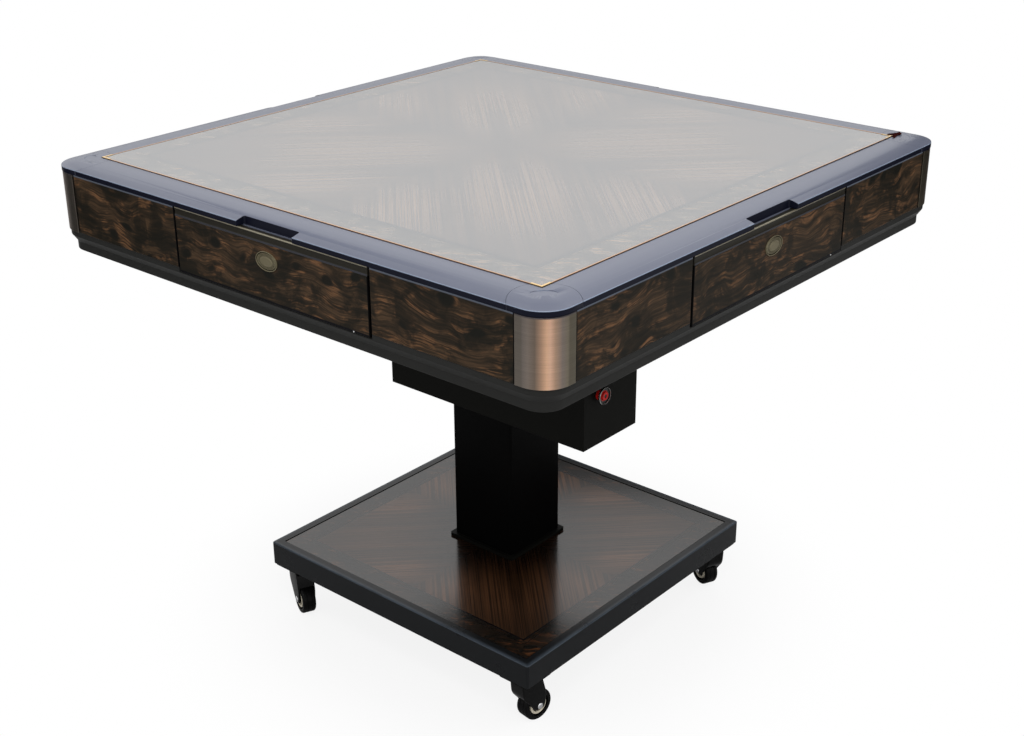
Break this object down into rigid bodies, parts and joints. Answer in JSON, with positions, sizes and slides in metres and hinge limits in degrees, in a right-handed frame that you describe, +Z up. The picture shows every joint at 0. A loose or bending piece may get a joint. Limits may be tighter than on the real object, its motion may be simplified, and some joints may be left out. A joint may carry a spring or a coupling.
{
  "type": "mahjong table with drawers",
  "caption": "Square pedestal game table: veneered lift-off cover, convex rails, a small drawer in each side, shuffling machine inside, square foot on swivel casters.",
  "frame": {"origin": "on the floor under the middle of the table", "axes": "+Z up, -Y towards the front drawer, +X towards the end with the push switch"},
  "size_m": [0.93, 0.93, 0.7736],
  "materials": {
    "striped_veneer": "gloss lacquer",
    "burl_veneer": "satin lacquer",
    "slate_rail": "satin",
    "gold_trim": "polished",
    "red_ribbon": "woven",
    "brushed_bronze": "brushed",
    "pull_metal": "anodised",
    "skirt_grey": "matte",
    "frame_board": "matte",
    "black_steel": "powder coat",
    "underside_black": "grained",
    "charcoal_rim": "satin paint on board",
    "felt": "felt",
    "zinc_sheet": "zinc plated",
    "machine_plastic": "satin",
    "motor_case": "painted",
    "drive_rubber": "matte",
    "caster_plastic": "gloss",
    "caster_tyre": "satin",
    "chrome_ring": "polished",
    "red_plastic": "gloss",
    "inlet_plastic": "matte"
  },
  "bodies": {
    "table": {"base_board": "striped_veneer", "side_panels_front": "burl_veneer", "side_panels_right": "burl_veneer", "side_panels_back": "burl_veneer", "side_panels_left": "burl_veneer", "rail_front": "slate_rail", "rail_right": "slate_rail", "rail_back": "slate_rail", "rail_left": "slate_rail", "rail_corner_blocks": "slate_rail", "corner_plates": "brushed_bronze", "skirt_frame": "skirt_grey", "apron_frame": "frame_board", "column_tube": "black_steel", "column_flanges": "black_steel", "housing_box": "black_steel", "caster_plates": "black_steel", "underside_plate": "underside_black", "base_rim": "charcoal_rim", "play_surface": "felt", "machine_deck": "zinc_sheet", "drawer_runners": "zinc_sheet", "mounting_screws": "zinc_sheet", "power_supply": "zinc_sheet", "shuffle_motor": "motor_case", "switch_bezel": "chrome_ring", "switch_collar": "red_plastic", "power_inlet": "inlet_plastic"},
    "cover": {"cover_board": "striped_veneer", "cover_edge_trim": "gold_trim", "cover_corner_caps": "gold_trim", "cover_lift_strap": "red_ribbon"},
    "control_disc_body": {"control_disc": "machine_plastic"},
    "turntable_body": {"turntable": "machine_plastic"},
    "drive_wheel_body": {"drive_wheel": "drive_rubber"},
    "switch_button_body": {"switch_button": "red_plastic"},
    "drawer_front": {"drawer_box_front": "frame_board", "drawer_front_front": "burl_veneer", "drawer_trim_front": "pull_metal"},
    "tile_lifter_front_body": {"tile_lifter_front": "machine_plastic"},
    "drawer_right": {"drawer_box_right": "frame_board", "drawer_front_right": "burl_veneer", "drawer_trim_right": "pull_metal"},
    "tile_lifter_right_body": {"tile_lifter_right": "machine_plastic"},
    "drawer_back": {"drawer_box_back": "frame_board", "drawer_front_back": "burl_veneer", "drawer_trim_back": "pull_metal"},
    "tile_lifter_back_body": {"tile_lifter_back": "machine_plastic"},
    "drawer_left": {"drawer_box_left": "frame_board", "drawer_front_left": "burl_veneer", "drawer_trim_left": "pull_metal"},
    "tile_lifter_left_body": {"tile_lifter_left": "machine_plastic"},
    "caster_swivel_front_right": {"caster_fork_front_right": "caster_plastic"},
    "caster_roller_front_right": {"caster_wheel_front_right": "caster_tyre"},
    "caster_swivel_front_left": {"caster_fork_front_left": "caster_plastic"},
    "caster_roller_front_left": {"caster_wheel_front_left": "caster_tyre"},
    "caster_swivel_back_right": {"caster_fork_back_right": "caster_plastic"},
    "caster_roller_back_right": {"caster_wheel_back_right": "caster_tyre"},
    "caster_swivel_back_left": {"caster_fork_back_left": "caster_plastic"},
    "caster_roller_back_left": {"caster_wheel_back_left": "caster_tyre"}
  },
  "joints": [
    {"name": "cover_lift", "type": "slide", "parent": "table", "child": "cover", "axis": [0, 0, 1], "range_m": [0, 0.3]},
    {"name": "control_disc_lift", "type": "slide", "parent": "table", "child": "control_disc_body", "axis": [0, 0, 1], "range_m": [0, 0.06]},
    {"name": "turntable_spin", "type": "hinge", "parent": "table", "child": "turntable_body", "pos_m": [0, 0, 0.684], "axis": [0, 0, 1], "continuous": true},
    {"name": "drive_wheel_spin", "type": "hinge", "parent": "table", "child": "drive_wheel_body", "pos_m": [0.19113, 0.19113, 0.694], "axis": [0, 0, 1], "continuous": true},
    {"name": "drawer_slide_front", "type": "slide", "parent": "table", "child": "drawer_front", "axis": [0, -1, 0], "range_m": [0, 0.08]},
    {"name": "tile_lift_front", "type": "slide", "parent": "table", "child": "tile_lifter_front_body", "axis": [0, 0, 1], "range_m": [0, 0.055]},
    {"name": "drawer_slide_right", "type": "slide", "parent": "table", "child": "drawer_right", "axis": [1, 0, 0], "range_m": [0, 0.08]},
    {"name": "tile_lift_right", "type": "slide", "parent": "table", "child": "tile_lifter_right_body", "axis": [0, 0, 1], "range_m": [0, 0.055]},
    {"name": "drawer_slide_back", "type": "slide", "parent": "table", "child": "drawer_back", "axis": [0, 1, 0], "range_m": [0, 0.08]},
    {"name": "tile_lift_back", "type": "slide", "parent": "table", "child": "tile_lifter_back_body", "axis": [0, 0, 1], "range_m": [0, 0.055]},
    {"name": "drawer_slide_left", "type": "slide", "parent": "table", "child": "drawer_left", "axis": [-1, 0, 0], "range_m": [0, 0.08]},
    {"name": "tile_lift_left", "type": "slide", "parent": "table", "child": "tile_lifter_left_body", "axis": [0, 0, 1], "range_m": [0, 0.055]},
    {"name": "switch_push", "type": "slide", "parent": "table", "child": "switch_button_body", "axis": [-1, 0, 0], "range_m": [0, 0.0025], "stiffness_N_per_m": 400},
    {"name": "caster_swivel_front_right", "type": "hinge", "parent": "table", "child": "caster_swivel_front_right", "pos_m": [0.2415, -0.2415, 0.078], "axis": [0, 0, 1], "continuous": true},
    {"name": "caster_roll_front_right", "type": "hinge", "parent": "caster_swivel_front_right", "child": "caster_roller_front_right", "pos_m": [0.24401, -0.22469, 0.025], "axis": [-0.989, 0.1478, 0], "continuous": true},
    {"name": "caster_swivel_front_left", "type": "hinge", "parent": "table", "child": "caster_swivel_front_left", "pos_m": [-0.2415, -0.2415, 0.078], "axis": [0, 0, 1], "continuous": true},
    {"name": "caster_roll_front_left", "type": "hinge", "parent": "caster_swivel_front_left", "child": "caster_roller_front_left", "pos_m": [-0.22591, -0.24828, 0.025], "axis": [0.3987, 0.9171, 0], "continuous": true},
    {"name": "caster_swivel_back_right", "type": "hinge", "parent": "table", "child": "caster_swivel_back_right", "pos_m": [0.2415, 0.2415, 0.078], "axis": [0, 0, 1], "continuous": true},
    {"name": "caster_roll_back_right", "type": "hinge", "parent": "caster_swivel_back_right", "child": "caster_roller_back_right", "pos_m": [0.22597, 0.24841, 0.025], "axis": [-0.4067, -0.9135, 0], "continuous": true},
    {"name": "caster_swivel_back_left", "type": "hinge", "parent": "table", "child": "caster_swivel_back_left", "pos_m": [-0.2415, 0.2415, 0.078], "axis": [0, 0, 1], "continuous": true},
    {"name": "caster_roll_back_left", "type": "hinge", "parent": "caster_swivel_back_left", "child": "caster_roller_back_left", "pos_m": [-0.22757, 0.25125, 0.025], "axis": [-0.5736, 0.8192, 0], "continuous": true}
  ],
  "couplings": [
    {"joint": "control_disc_lift", "follows": "cover_lift", "ratio": 0.2},
    {"joint": "drive_wheel_spin", "follows": "turntable_spin", "ratio": -8},
    {"joint": "tile_lift_front", "follows": "cover_lift", "ratio": 0.18333},
    {"joint": "tile_lift_right", "follows": "cover_lift", "ratio": 0.18333},
    {"joint": "tile_lift_back", "follows": "cover_lift", "ratio": 0.18333},
    {"joint": "tile_lift_left", "follows": "cover_lift", "ratio": 0.18333}
  ]
}
